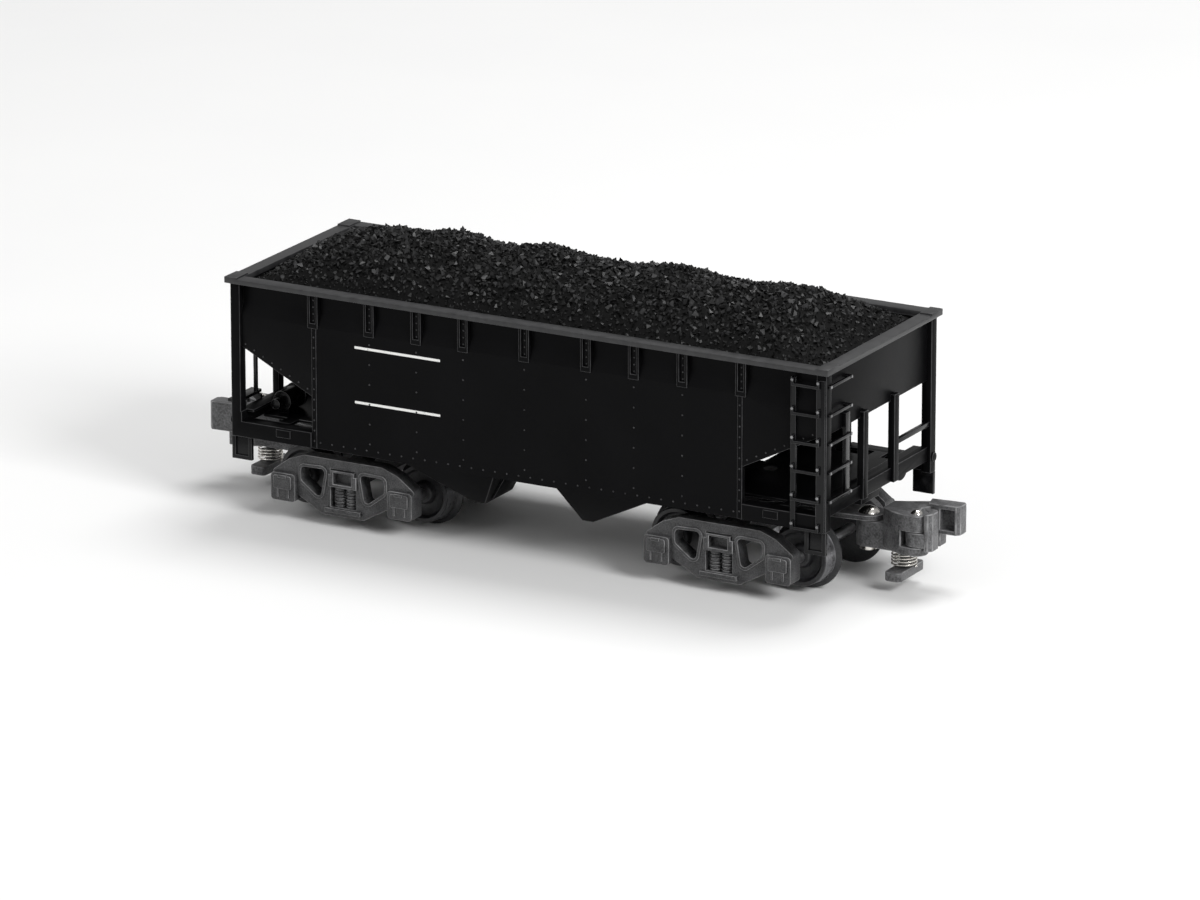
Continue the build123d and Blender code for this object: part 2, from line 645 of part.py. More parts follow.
with BuildPart() as sideframe:
    reach = journal_x + box_half
    tail = axle_height - tail_drop
    box_places = (-journal_x, journal_x)
    with BuildSketch(frame_plane) as cast_outline:
        half = [(arch_half, frame_top), shoulder, (reach, box_top + box_lip), (reach, tail),
                (journal_x - box_half, tail), (foot_half, frame_bottom)]
        add(rounded(half + mirrored(half)[::-1], frame_radius))
        add(rounded(opening, opening_radius), mode=Mode.SUBTRACT)
        add(rounded(mirrored(opening), opening_radius), mode=Mode.SUBTRACT)
        with Locations((0, (spring_seat + window_top) / 2)):
            Rectangle(2 * window_half, window_top - spring_seat, mode=Mode.SUBTRACT)
    extrude(amount=frame_thickness)
    # Raised mouldings round the openings.
    with BuildSketch(face_plane) as mouldings:
        for shape in (opening, mirrored(opening)):
            add(offset(rounded(shape, opening_radius), amount=rim_moulding[0], mode=Mode.PRIVATE))
        for shape in (opening, mirrored(opening)):
            add(rounded(shape, opening_radius), mode=Mode.SUBTRACT)
    extrude(amount=rim_moulding[1])
    # Lip of the spring seat.
    block((truck_x - seat_half, truck_x + seat_half), (-frame_outer - seat_lip[0], -frame_outer),
          (spring_seat - seat_lip[2], spring_seat - seat_lip[1]))
    # Two moulded coil springs under the bolster's end.
    coil_pitch = (bolster_bottom - spring_seat) / coils
    coil_y = coil_place[1] - frame_outer
    for x in (truck_x - coil_place[0], truck_x + coil_place[0]):
        upright(x, coil_y, (spring_seat, bolster_bottom), coil_core)
        for coil in range(coils):
            low = spring_seat + coil * coil_pitch
            upright(x, coil_y, (low, low + coil_pitch * coil_share), coil_outer)
    # Journal boxes with their lids, hinge lugs and ribs.
    with BuildSketch(frame_plane) as boxes:
        with Locations(*[(x, (box_bottom + box_top) / 2) for x in box_places]):
            RectangleRounded(2 * box_half, box_top - box_bottom, frame_radius)
    extrude(amount=frame_thickness + box_proud)
    with BuildSketch(face_plane.offset(box_proud)) as lids:
        with Locations(*[(x, axle_height + lid[2]) for x in box_places]):
            RectangleRounded(lid[0], lid[1], lid_radius)
    extrude(amount=lid[3])
    for x in (truck_x - journal_x, truck_x + journal_x):
        block((x - hinge[0], x + hinge[0]), (-box_front - hinge[1], -box_front),
              (box_top - hinge[2], box_top - hinge[3]))
        for side in (-1, 1):
            middle = x + side * rib[0]
            block((middle - rib[1] / 2, middle + rib[1] / 2), (-box_front - rib[2], -box_front),
                  (box_bottom + frame_radius, axle_height + lid[2]))
        across(x, (-journal_tip - journal_room, -frame_inner), axle_height,
               journal_diameter + 2 * running_clearance, Mode.SUBTRACT)

tongue_root = (6.0, 5.5)   # where the tongue leaves the bolster: from the king pin, and half its width
tongue_tip = 3.6
plate_height = 0.6
neck = (2.0, 8.0)          # the bolster slopes from inside the sideframe up to this half width
with BuildPart() as bolster:
    bolster_end = frame_outer + seat_lip[0]
    bolster_side = bolster_bottom + bolster_end_height
    plate_bottom = truck_plate_top - plate_height
    slope = [(bolster_end, bolster_side), (frame_inner - neck[0], bolster_side), (neck[1], plate_bottom)]
    end_prism(
        [(-bolster_end, bolster_bottom), (bolster_end, bolster_bottom)] + slope + mirrored(slope)[::-1],
        (truck_x - bolster_half, truck_x + bolster_half),
    )
    for side in (-1, 1):
        # Gibs outside the sideframe, and the hollow in the bolster's end.
        block((truck_x - gib[0], truck_x + gib[0]), sorted((side * frame_outer, side * bolster_end)),
              (bolster_bottom, bolster_bottom + gib[1]))
        block((truck_x - gib_hollow[0], truck_x + gib_hollow[0]),
              sorted((side * (bolster_end - gib_hollow[1]), side * bolster_end)),
              (bolster_bottom + gib_hollow[2], bolster_side - gib_hollow[3]), Mode.SUBTRACT)
    upright(truck_x, 0, (plate_bottom, truck_plate_top), centre_plate_diameter)
    # Tongue that carries the coupler.
    tongue_bottom = tongue_top - tongue_thickness
    tongue_end = truck_x + rivet_x
    root_x, root_y = truck_x + tongue_root[0], tongue_root[1]
    prism([(truck_x, -root_y), (root_x, -root_y), (tongue_end, -tongue_tip), (tongue_end, tongue_tip),
           (root_x, root_y), (truck_x, root_y)], Plane.XY.offset(tongue_bottom), tongue_thickness)
    upright(tongue_end, 0, (tongue_bottom, tongue_top), 2 * tongue_tip)
    upright(tongue_end, 0, (0, rim_top), rivet_diameter, Mode.SUBTRACT)
    upright(truck_x, 0, (0, rim_top), screw_diameter + 2 * running_clearance, Mode.SUBTRACT)


def make_axle(x):
    """A plain axle with a smaller journal at each end."""
    with BuildPart() as axle:
        across(x, (-frame_inner + 0.5, frame_inner - 0.5), axle_height, axle_diameter)
        across(x, (-journal_tip, journal_tip), axle_height, journal_diameter)
    return axle.part


def make_wheels(x):
    """A pair of flanged wheels: a coned tread, a rounded flange and a dished web."""
    tread = tread_diameter / 2
    rim_inner = tread - 1.1
    hub = axle_diameter / 2 + 1.1
    outline = [
        (wheel_inner, axle_diameter / 2), (wheel_inner, tread + 0.5 * flange_depth),
        (wheel_inner + 0.3 * flange_width, tread + flange_depth),
        (wheel_inner + 0.7 * flange_width, tread + flange_depth),
        (wheel_inner + flange_width, tread + 0.5 * flange_depth),
        (wheel_inner + flange_width + flange_root, tread),
        (wheel_outer, tread - 0.2), (wheel_outer, rim_inner), (wheel_outer - 0.9, rim_inner - 0.2),
        (wheel_outer - 1.6, hub), (wheel_outer - 0.4, hub - 0.2), (wheel_outer - 0.4, axle_diameter / 2),
    ]
    with BuildPart() as wheels:
        with BuildSketch(Plane((x, 0, axle_height), x_dir=(0, 1, 0), z_dir=(1, 0, 0))) as section:
            with BuildLine():
                Polyline(*outline, close=True)
            make_face()
        revolve(axis=Axis((x, 0, axle_height), (0, 1, 0)))
        mirror(about=Plane.XZ)
    return wheels.part


# ---------------------------------------------------------------- coupler a
rivet_place = truck_x + rivet_x
pin_place = truck_x + knuckle_pin_x
lift_place = truck_x + lift_pin_x
ear_radius = 2.5
guard_bottom = 11.8


def at_truck(points):
    """A plan outline given from the truck's king pin."""
    return [(truck_x + x, y) for x, y in points]


def dome(x, y, z, diameter, height):
    """A rivet head: part of a ball on a flat base."""
    radius = ((diameter / 2) ** 2 + height ** 2) / (2 * height)
    middle = 0.6 * diameter / 2
    with BuildSketch(Plane((x, y, z), x_dir=(1, 0, 0), z_dir=(0, -1, 0))) as section:
        with BuildLine():
            Polyline((0, height), (0, 0), (diameter / 2, 0))
            ThreePointArc((diameter / 2, 0), (middle, (radius ** 2 - middle ** 2) ** 0.5 + height - radius),
                          (0, height))
        make_face()
    revolve(section.sketch, axis=Axis((x, y, z), (0, 0, 1)))


bore_depth = 0.4          # metal left above the lift pin's bore
shank_end = 2.8           # the shank runs this far past the lift pin
flare_x = 28.0            # the head starts to widen here
head = [(flare_x, -shank_half), (31.0, -4.4), (34.0, -5.4), (knuckle_pin_x, knuckle_pin_y - ear_radius),
        (knuckle_pin_x, knuckle_pin_y), (35.5, 0.8), (36.6, 2.8), (38.4, 3.4), (38.4, 6.4), (35.0, 6.2),
        (31.0, 4.0), (flare_x, shank_half)]
guard = [(36.0, 2.6), (42.2, 3.0), (43.0, 3.8), (43.0, 6.4), (42.4, 7.0), (35.0, 6.3)]
guard_rise = 0.6          # the guard arm stands this far above the head
guard_hollow = ((38.6, 41.8), (2.0, 4.6), (guard_bottom + 0.9, head_top - 0.4))
slot_x = (33.4, 45.0)
slot_y = (-10.0, 1.0)
with BuildPart() as coupler_body:
    block((rivet_place, lift_place + shank_end), (-shank_half, shank_half), (shank_bottom, shank_top))
    upright(rivet_place, 0, (shank_bottom, shank_top), 2 * shank_half)
    prism(at_truck(head), Plane.XY.offset(head_bottom), head_top - head_bottom)
    upright(pin_place, knuckle_pin_y, (head_bottom, head_top), 2 * ear_radius)
    # Guard arm with the hollow in its face.
    prism(at_truck(guard), Plane.XY.offset(guard_bottom), head_top + guard_rise - guard_bottom)
    block([truck_x + x for x in guard_hollow[0]], guard_hollow[1], guard_hollow[2], Mode.SUBTRACT)
    # Slot between the ears for the knuckle, and the bores.
    block([truck_x + x for x in slot_x], slot_y, knuckle_gap, Mode.SUBTRACT)
    upright(rivet_place, 0, (0, rim_top), rivet_diameter + 2 * running_clearance, Mode.SUBTRACT)
    upright(pin_place, knuckle_pin_y, (0, rim_top), knuckle_pin_diameter, Mode.SUBTRACT)
    upright(lift_place, 0, (0, shank_top - bore_depth), lift_pin_diameter + 2 * running_clearance,
            Mode.SUBTRACT)

collar = (1.4, 0.7)       # the rivet's spread foot: wider than the rivet by this, and its thickness
with BuildPart() as coupler_rivet:
    collar_top = shank_bottom - gap
    upright(rivet_place, 0, (collar_top - collar[1], tongue_top), rivet_diameter)
    upright(rivet_place, 0, (collar_top - collar[1], collar_top), rivet_diameter + collar[0])
    dome(rivet_place, 0, tongue_top, *rivet_head)

hub_play = 0.15           # above and below the knuckle's hub
nose = [(38.9, -5.0), (39.6, -4.9), (40.4, -4.0), (40.4, -1.4), (39.6, -0.5), (38.3, -0.2), (37.9, -0.8)]
throat_radius = 2.75
throat_turns = (0.6, 0, -0.6)
arm = [(knuckle_pin_x, -5.3), (39.6, -4.9), (39.6, -1.0), (knuckle_pin_x, -0.7)]
with BuildPart() as knuckle:
    hub_low, hub_high = knuckle_gap[0] + hub_play, knuckle_gap[1] - hub_play
    upright(pin_place, knuckle_pin_y, (hub_low, hub_high), 2 * knuckle_hub)
    throat = [(knuckle_pin_x + throat_radius * cos(turn), knuckle_pin_y + throat_radius * sin(turn))
              for turn in throat_turns]
    prism(at_truck(nose + throat), Plane.XY.offset(knuckle_nose[0]), knuckle_nose[1] - knuckle_nose[0])
    prism(at_truck(arm), Plane.XY.offset(hub_low), hub_high - hub_low)
    upright(pin_place, knuckle_pin_y, (0, rim_top), knuckle_pin_diameter + 2 * running_clearance,
            Mode.SUBTRACT)

pin_head = (2.6, 0.8)
pin_tail = 0.4
with BuildPart() as knuckle_pin:
    upright(pin_place, knuckle_pin_y, (head_bottom - pin_tail, head_top), knuckle_pin_diameter)
    dome(pin_place, knuckle_pin_y, head_top, *pin_head)

foot_radius = 0.9
foot_root = 0.5           # the pin runs this far into its foot
with BuildPart() as lift_pin:
    pin_top = shank_top - bore_depth - lift_travel - gap
    upright(lift_place, 0, (foot_top - foot_root, pin_top), lift_pin_diameter)
    block((lift_place - foot_size[0] / 2, lift_place + foot_size[0] / 2),
          (-foot_size[1] / 2, foot_size[1] / 2), (foot_top - foot_size[2], foot_top))
    fillet(lift_pin.edges().filter_by(Axis.Z), foot_radius)

coil_radius = (spring_diameter - spring_wire) / 2
with BuildPart() as lift_spring:
    low = foot_top + spring_wire / 2
    with BuildLine() as coil_path:
        Helix((spring_height - spring_wire) / spring_turns, spring_height - spring_wire, coil_radius,
              center=(lift_place, 0, low))
    with BuildSketch(Plane(coil_path.line @ 0, z_dir=coil_path.line % 0)) as wire:
        Circle(spring_wire / 2)
    sweep(path=coil_path.line)

# ---------------------------------------------------------------- both ends
# Everything at end a has a twin at end b, turned half a turn about the middle of the car.
twins = {
    "end_frame": end_frame.part,
    "side_ladder": side_ladder.part,
    "end_ladder": end_ladder.part,
    "truck_screw": truck_screw.part,
    "truck_bolster": bolster.part,
    "sideframe_near": sideframe.part,
    "sideframe_far": mirror(sideframe.part, about=Plane.XZ),
    "coupler_body": coupler_body.part,
    "coupler_rivet": coupler_rivet.part,
    "knuckle": knuckle.part,
    "knuckle_pin": knuckle_pin.part,
    "lift_pin": lift_pin.part,
    "lift_spring": lift_spring.part,
}
for name, x in (("inner", truck_x - journal_x), ("outer", truck_x + journal_x)):
    twins[f"axle_{name}"] = make_axle(x)
    twins[f"wheels_{name}"] = make_wheels(x)
for name, part in twins.items():
    with BuildPart() as twin:
        add(part, rotation=(0, 0, 180))
    save(f"{name}_a", part)
    save(f"{name}_b", twin.part)
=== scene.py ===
# %% [markdown]
# The car comes from CAD with its true sizes and its moving parts, and nothing here moves or resizes it.
# Blender gives it its looks: rounded edges, rivets, printed bars, a heap of broken coal, and a finish for
# each material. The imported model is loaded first, because every piece takes its place from it.

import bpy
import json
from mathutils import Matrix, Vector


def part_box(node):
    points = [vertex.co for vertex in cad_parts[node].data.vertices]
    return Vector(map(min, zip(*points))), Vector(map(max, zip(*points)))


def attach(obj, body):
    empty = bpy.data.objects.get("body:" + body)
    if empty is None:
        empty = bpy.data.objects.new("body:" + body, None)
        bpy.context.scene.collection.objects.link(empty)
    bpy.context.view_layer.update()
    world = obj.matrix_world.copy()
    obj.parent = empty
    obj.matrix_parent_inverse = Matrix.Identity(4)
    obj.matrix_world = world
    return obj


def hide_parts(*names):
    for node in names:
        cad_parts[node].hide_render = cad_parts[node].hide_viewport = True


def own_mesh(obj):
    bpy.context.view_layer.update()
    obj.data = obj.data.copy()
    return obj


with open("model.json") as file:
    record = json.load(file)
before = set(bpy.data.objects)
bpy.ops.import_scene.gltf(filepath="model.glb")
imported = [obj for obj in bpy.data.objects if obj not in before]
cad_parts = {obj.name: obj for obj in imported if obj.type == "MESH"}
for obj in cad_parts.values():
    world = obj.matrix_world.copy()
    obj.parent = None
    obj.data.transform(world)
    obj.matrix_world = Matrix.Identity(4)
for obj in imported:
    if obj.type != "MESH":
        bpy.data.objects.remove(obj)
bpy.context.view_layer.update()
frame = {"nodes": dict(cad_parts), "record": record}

# %% [markdown]
# Blender works in metres and this car is 177 mm long, so sizes are written in millimetres and multiplied
# by MM.

# %% Millimetres
import json
import math
import random

import bmesh
import bpy
from mathutils import Matrix, Vector, noise

MM = 0.001


def box_mm(node):
    """The lowest and highest corners of a CAD piece, in millimetres."""
    low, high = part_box(node)
    return [value / MM for value in low], [value / MM for value in high]


shell_low, shell_high = box_mm("body_shell")
print("shell, mm:", [round(b - a, 1) for a, b in zip(shell_low, shell_high)])

# %% [markdown]
# The camera stands far back with a long lens, a little above the car and round towards its right-hand end.
# A long lens keeps parallel edges nearly parallel, so a small model looks true to its drawing. The
# camera's axes are worked out from two angles, and it is then slid along them so that the car sits a
# little left of the middle.

# %% Camera
VIEW_TURN = math.radians(28.96)
VIEW_RISE = math.radians(17.17)
AIM_HEIGHT = 21.2
SLIDE_RIGHT = 3.974
SLIDE_UP = -2.729
DISTANCE = 1859.54
FOCAL_LENGTH = 262.2
FILM_WIDTH = 36.0
CLIP_END = 10.0
back = Vector((math.sin(VIEW_TURN) * math.cos(VIEW_RISE), -math.cos(VIEW_TURN) * math.cos(VIEW_RISE),
               math.sin(VIEW_RISE)))
right = Vector((0, 0, 1)).cross(back).normalized()
up = back.cross(right)
stand = Vector((0, 0, AIM_HEIGHT)) + SLIDE_RIGHT * right + SLIDE_UP * up + DISTANCE * back
lens = bpy.data.cameras.new("camera")
lens.lens = FOCAL_LENGTH
lens.sensor_width = FILM_WIDTH
lens.clip_end = CLIP_END
camera = bpy.data.objects.new("camera", lens)
bpy.context.scene.collection.objects.link(camera)
camera.matrix_world = Matrix.Translation(stand * MM) @ Matrix((right, up, back)).transposed().to_4x4()
bpy.context.scene.camera = camera
print("camera stands", round(stand.length), "mm away")

# %% [markdown]
# A finish is a material made of nodes. Joining nodes one by one is long to write and hard to read, so a
# Signal holds a socket and turns + - * into Math nodes, and a Finish makes any other node in one call: its
# settings are set first and its inputs second.

# %% Finishes as expressions
class Signal:
    """An output socket that can be added, subtracted and multiplied like a number."""

    def __init__(self, finish, socket):
        self.finish = finish
        self.socket = socket

    def math(self, operation, *others, clamp=False):
        """Any Math node whose first input is this signal."""
        inputs = dict(enumerate((self,) + others))
        return self.finish.node("ShaderNodeMath", {"operation": operation, "use_clamp": clamp}, inputs)

    def __add__(self, other):
        return self.math("ADD", other)

    def __mul__(self, other):
        return self.math("MULTIPLY", other)

    def __sub__(self, other):
        return self.math("SUBTRACT", other)

    def __rsub__(self, other):
        return self.finish.node("ShaderNodeMath", {"operation": "SUBTRACT"}, {0: other, 1: self})

    __radd__ = __add__
    __rmul__ = __mul__

    def above(self, edge, softness):
        """0 below the edge and 1 above it, with a soft step between."""
        return ((self - edge) * (1 / softness)).math("ADD", 0.5, clamp=True)


class Finish:
    """A material, its main shader and the nodes that feed it."""

    def __init__(self, name, color, roughness, metallic=0.0, **constant):
        self.material = bpy.data.materials.new(name)
        self.material.use_nodes = True
        self.nodes = self.material.node_tree.nodes
        self.links = self.material.node_tree.links
        self.shader = self.nodes["Principled BSDF"]
        self.set("Base Color", (*color, 1.0))
        self.set("Roughness", roughness)
        self.set("Metallic", metallic)
        for socket, value in constant.items():
            self.set(socket.replace("_", " "), value)
        self.place = self.node("ShaderNodeTexCoord", output="Object")

    def fill(self, socket, value):
        """Put a plain value or a signal into a socket."""
        if isinstance(value, Signal):
            self.links.new(value.socket, socket)
        else:
            socket.default_value = value

    def set(self, socket, value):
        """Give the main shader's socket a value or a signal."""
        self.fill(self.shader.inputs[socket], value)

    def node(self, kind, settings=None, inputs=None, output=0):
        """Any node: its type, its settings, then the values or signals of its sockets."""
        node = self.nodes.new(kind)
        for name, value in (settings or {}).items():
            setattr(node, name, value)
        for socket, value in (inputs or {}).items():
            self.fill(node.inputs[socket], value)
        return Signal(self, node.outputs[output])

    def grain(self, size, detail=2.0, rough=0.5):
        """Noise from 0 to 1 whose blobs are about size millimetres across."""
        return self.node("ShaderNodeTexNoise", inputs={
            "Vector": self.place, "Scale": 1 / (size * MM), "Detail": detail, "Roughness": rough})

    def blend(self, amount, first, second):
        """A colour that goes from first to second as amount goes from 0 to 1."""
        return self.node("ShaderNodeMix", {"data_type": "RGBA"}, {
            0: amount, 6: (*first, 1.0), 7: (*second, 1.0)}, output=2)

    def bump(self, height, depth):
        """Raise the surface by height, where 1 stands for depth millimetres."""
        self.set("Normal", self.node("ShaderNodeBump", inputs={
            "Height": height, "Distance": depth * MM, "Strength": 1.0}))


print("signals and finishes are ready")

# %% [markdown]
# The body is moulded in black plastic with a satin skin. Black plastic is hard to make convincing because
# it has no colour to vary, so what shows is its gloss: the skin is a little blotchy where it was handled,
# and a very fine orange peel breaks up the reflections. Dust is left out, since the car is new.

# %% Satin black body
body_black = Finish("satin_black_plastic", (0.003, 0.003, 0.003), 0.36, Specular_IOR_Level=0.05)
handling = body_black.grain(14.0, detail=3.0)
peel = body_black.grain(0.35, detail=1.0)
body_black.set("Base Color", body_black.blend(handling, (0.0018, 0.0018, 0.002), (0.0045, 0.0045, 0.005)))
body_black.set("Roughness", handling * 0.12 + peel * 0.05 + 0.29)
body_black.bump(peel, 0.006)
print(body_black.material.name, len(body_black.nodes), "nodes")

# %% [markdown]
# The edges, the rivet heads and the top of the rim are glossier, and their lighter grey is painted highlight:
# the glint that light gives these faces is painted into their colour, and it is what draws the lines of the
# body. The grey castings and the ladders' bolts have a paler painted glint of their own.

# %% Painted glints
def highlighted(name, dull, bright, roughness):
    """A painted highlight for edges: a grey glint that comes and goes along their length."""
    glint = Finish(name, bright, roughness, Specular_IOR_Level=0.5)
    glint_breakup = glint.grain(2.2, detail=3.0)
    # Painted highlight: the colour goes from the dull grey to the bright one in random patches along the
    # edge.
    glint.set("Base Color", glint.blend(glint_breakup.above(0.5, 0.35), dull, bright))
    glint.set("Roughness", roughness + glint_breakup * 0.2)
    return glint


painted_glint_black = highlighted("painted_glint_black", (0.008, 0.008, 0.009), (0.034, 0.034, 0.036), roughness=0.22)
painted_rim_highlight = highlighted("painted_rim_highlight", (0.010, 0.010, 0.011), (0.022, 0.022, 0.023), roughness=0.34)
painted_glint_grey = highlighted("painted_glint_grey", (0.085, 0.085, 0.087), (0.26, 0.26, 0.264), roughness=0.22)
print("three rubbed finishes")

# %% [markdown]
# The ladders, steps and brake gear are separate mouldings in a glossier black, so their thin bars catch
# the light along their whole length.

# %% Gloss black details
detail_black = Finish("gloss_black_plastic", (0.004, 0.004, 0.0045), 0.22, Specular_IOR_Level=0.22)
detail_skin = detail_black.grain(0.5, detail=2.0)
detail_black.set("Roughness", detail_skin * 0.14 + 0.16)
detail_black.bump(detail_skin, 0.008)
print(detail_black.material.name)

# %% [markdown]
# Truck frames are cast or moulded in a dark grey with a sandy skin. The grain is the look of them, so it
# drives both the bump and the colour: the colour follows the bump, with painted shade in the hollows between
# the grains and a little painted highlight on the high spots, mixed with patches of random tone.

# %% Sandy grey castings
def sandy(name, dark, light, roughness, grain_size, depth):
    """A dark casting with a sandy skin, from its two greys and the size of its grain."""
    casting = Finish(name, light, roughness)
    sand = casting.grain(grain_size, detail=4.0, rough=0.6)
    patches = casting.grain(3.0, detail=2.0)
    # Painted shade and highlight: the mask follows the sand grain of the bump, so hollows are dark and high
    # spots light; the patches add random tone.
    casting.set("Base Color", casting.blend((sand * 0.8 + patches * 0.4).above(0.6, 0.28), dark, light))
    casting.set("Roughness", roughness + sand * 0.2 - patches * 0.1)
    casting.bump(sand, depth)
    return casting


truck_grey = sandy("sandy_truck_grey", (0.010, 0.010, 0.011), (0.066, 0.066, 0.068),
                   roughness=0.40, grain_size=0.34, depth=0.13)
coupler_grey = sandy("coupler_grey", (0.034, 0.034, 0.035), (0.130, 0.130, 0.134),
                     roughness=0.28, grain_size=0.45, depth=0.05)
print(truck_grey.material.name, "and", coupler_grey.material.name)

# %% [markdown]
# The couplers' rivets, knuckle pins and springs are nickel plated: a warm bright metal with faint
# clouding. Axles and screws are plain steel. Its turning marks are noise squeezed twelve times finer along
# the axle, so that they run round it in thin rings.

# %% Metals
nickel = Finish("bright_nickel", (0.72, 0.70, 0.66), 0.18, metallic=1.0)
cloud = nickel.grain(0.8, detail=2.0)
nickel.set("Roughness", cloud * 0.16 + 0.12)
nickel.set("Base Color", nickel.blend(cloud, (0.62, 0.60, 0.56), (0.80, 0.78, 0.74)))

TURNING_SQUEEZE = (1.0, 12.0, 1.0)
steel = Finish("plain_steel", (0.42, 0.42, 0.43), 0.35, metallic=1.0)
turning = steel.node("ShaderNodeTexNoise", inputs={
    "Vector": steel.node("ShaderNodeMapping", inputs={"Vector": steel.place, "Scale": TURNING_SQUEEZE}),
    "Scale": 250.0, "Detail": 3.0})
steel.set("Roughness", turning * 0.25 + 0.22)
steel.set("Base Color", steel.blend(turning, (0.32, 0.32, 0.33), (0.52, 0.52, 0.53)))
print(nickel.material.name, "and", steel.material.name)

# %% [markdown]
# Wheels are blackened castings with the same kind of sandy skin as the trucks, only much shallower, and with
# the same painted shade in the grain's hollows. Coal is black, and the smaller the pieces the darker and
# duller it looks, so the dust, the slack and the lumps have a finish each.

# %% Wheels and coal
wheel_black = sandy("blackened_wheel", (0.008, 0.008, 0.009), (0.026, 0.026, 0.028),
                    roughness=0.36, grain_size=0.4, depth=0.01)


def coal(name, dark, light, roughness, shine):
    """Broken coal: each lump has its own tone, and its faces are a little rough."""
    finish = Finish(name, light, roughness, Specular_IOR_Level=shine)
    tone = finish.grain(1.6, detail=1.0)
    finish.set("Base Color", finish.blend(tone.above(0.52, 0.3), dark, light))
    finish.set("Roughness", roughness + tone * 0.3)
    finish.bump(finish.grain(0.4, detail=3.0), 0.02)
    return finish


coal_dust = coal("coal_dust", (0.001, 0.001, 0.001), (0.003, 0.003, 0.003), roughness=0.6, shine=0.1)
coal_slack = coal("coal_slack", (0.001, 0.001, 0.001), (0.006, 0.006, 0.006), roughness=0.40, shine=0.18)
coal_lump = coal("broken_coal", (0.002, 0.002, 0.002), (0.020, 0.020, 0.021), roughness=0.26, shine=0.28)
print(wheel_black.material.name, "and three kinds of coal")

# %% [markdown]
# Pieces with the right shape keep their CAD mesh and only take a finish. Each CAD piece names a material slot
# in the record, so one table from slot to finish covers the whole car. A second table gives the painted
# glint, a lighter grey painted as highlight on a piece's rounded edges, and a slot that isn't in it has edges
# like the rest of the piece.

# %% Finish every CAD piece
FINISH_OF_SLOT = {
    "body_black": body_black, "detail_black": detail_black, "truck_plastic": truck_grey,
    "coupler_metal": coupler_grey, "nickel": nickel, "wheel_black": wheel_black, "steel": steel,
    "coal": coal_dust,
}
# Painted highlight: the lighter grey each slot's rounded edges take, standing for the light they catch.
EDGE_GLINT = {
    "body_black": painted_glint_black, "detail_black": painted_glint_black, "truck_plastic": painted_glint_grey,
    "coupler_metal": painted_glint_grey,
}
slot_of_node = {part["node"]: part["material_slot"] for part in frame["record"]["subparts"]}
for node, piece in frame["nodes"].items():
    for place in piece.material_slots:
        place.material = FINISH_OF_SLOT[slot_of_node[node]].material
print(len(slot_of_node), "pieces have a finish")

# %% [markdown]
# CAD edges are perfectly sharp, and nothing real is: a moulded edge has a tiny radius that catches a line
# of light, and that line is what lets the eye read a black shape. Pieces whose edges show get a copy whose
# triangles are merged back into clean faces. Only the outward edges are bevelled, since an inside corner
# shows no glint and bevelling it would eat into its small neighbours.

# %% Working on one piece
def only(piece):
    """Deselect everything, then select this piece and make it the active one."""
    bpy.ops.object.select_all(action="DESELECT")
    piece.select_set(True)
    bpy.context.view_layer.objects.active = piece


def choose_edges(piece, wanted):
    """In edit mode, select the edges that wanted() says yes to, and return how many there are."""
    bpy.ops.mesh.select_mode(type="EDGE")
    bpy.ops.mesh.select_all(action="DESELECT")
    corners = bmesh.from_edit_mesh(piece.data)
    for edge in corners.edges:
        edge.select_set(wanted(edge))
    bmesh.update_edit_mesh(piece.data)
    return sum(edge.select for edge in corners.edges)


body_of_node = {}
for body, nodes in frame["record"]["behaviour"]["bodies"].items():
    for node in nodes:
        body_of_node[node] = body
print(len(body_of_node), "pieces know their body")

# %% Rounding the outward edges
SHARP = math.radians(35)
FLAT = math.radians(0.5)
SMOOTH = math.radians(30)
WELD = 0.001 * MM


def coat(piece, *finishes):
    """Give a piece its finishes, the main one first."""
    piece.data.materials.clear()
    for finish in finishes:
        piece.data.materials.append(finish.material)


def stands_for(piece, node):
    """Put a finished piece in the place of a CAD piece: its body."""
    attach(piece, body_of_node[node])
    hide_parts(node)


def round_edges(node, radius):
    """Copy a CAD piece with its outward edges rounded to a radius in millimetres and given a painted glint.
    """
    piece = bpy.data.objects.new(node + "_rounded", frame["nodes"][node].data.copy())
    bpy.context.scene.collection.objects.link(piece)
    slot = slot_of_node[node]
    coat(piece, FINISH_OF_SLOT[slot], EDGE_GLINT.get(slot, FINISH_OF_SLOT[slot]), painted_rim_highlight)
    only(piece)
    bpy.ops.mesh.customdata_custom_splitnormals_clear()
    bpy.ops.object.mode_set(mode="EDIT")
    bpy.ops.mesh.select_all(action="SELECT")
    bpy.ops.mesh.remove_doubles(threshold=WELD)
    bpy.ops.mesh.dissolve_limited(angle_limit=FLAT)
    count = choose_edges(piece, lambda edge: edge.is_manifold and edge.is_convex
                         and edge.calc_face_angle() > SHARP)
    # The bevel faces take slot 1, the painted glint: the light on each edge painted as a lighter grey.
    bpy.ops.mesh.bevel(offset=radius * MM, segments=2, affect="EDGES", clamp_overlap=False, material=1)
    bpy.ops.object.mode_set(mode="OBJECT")
    bpy.ops.object.shade_smooth_by_angle(angle=SMOOTH)
    stands_for(piece, node)
    return count


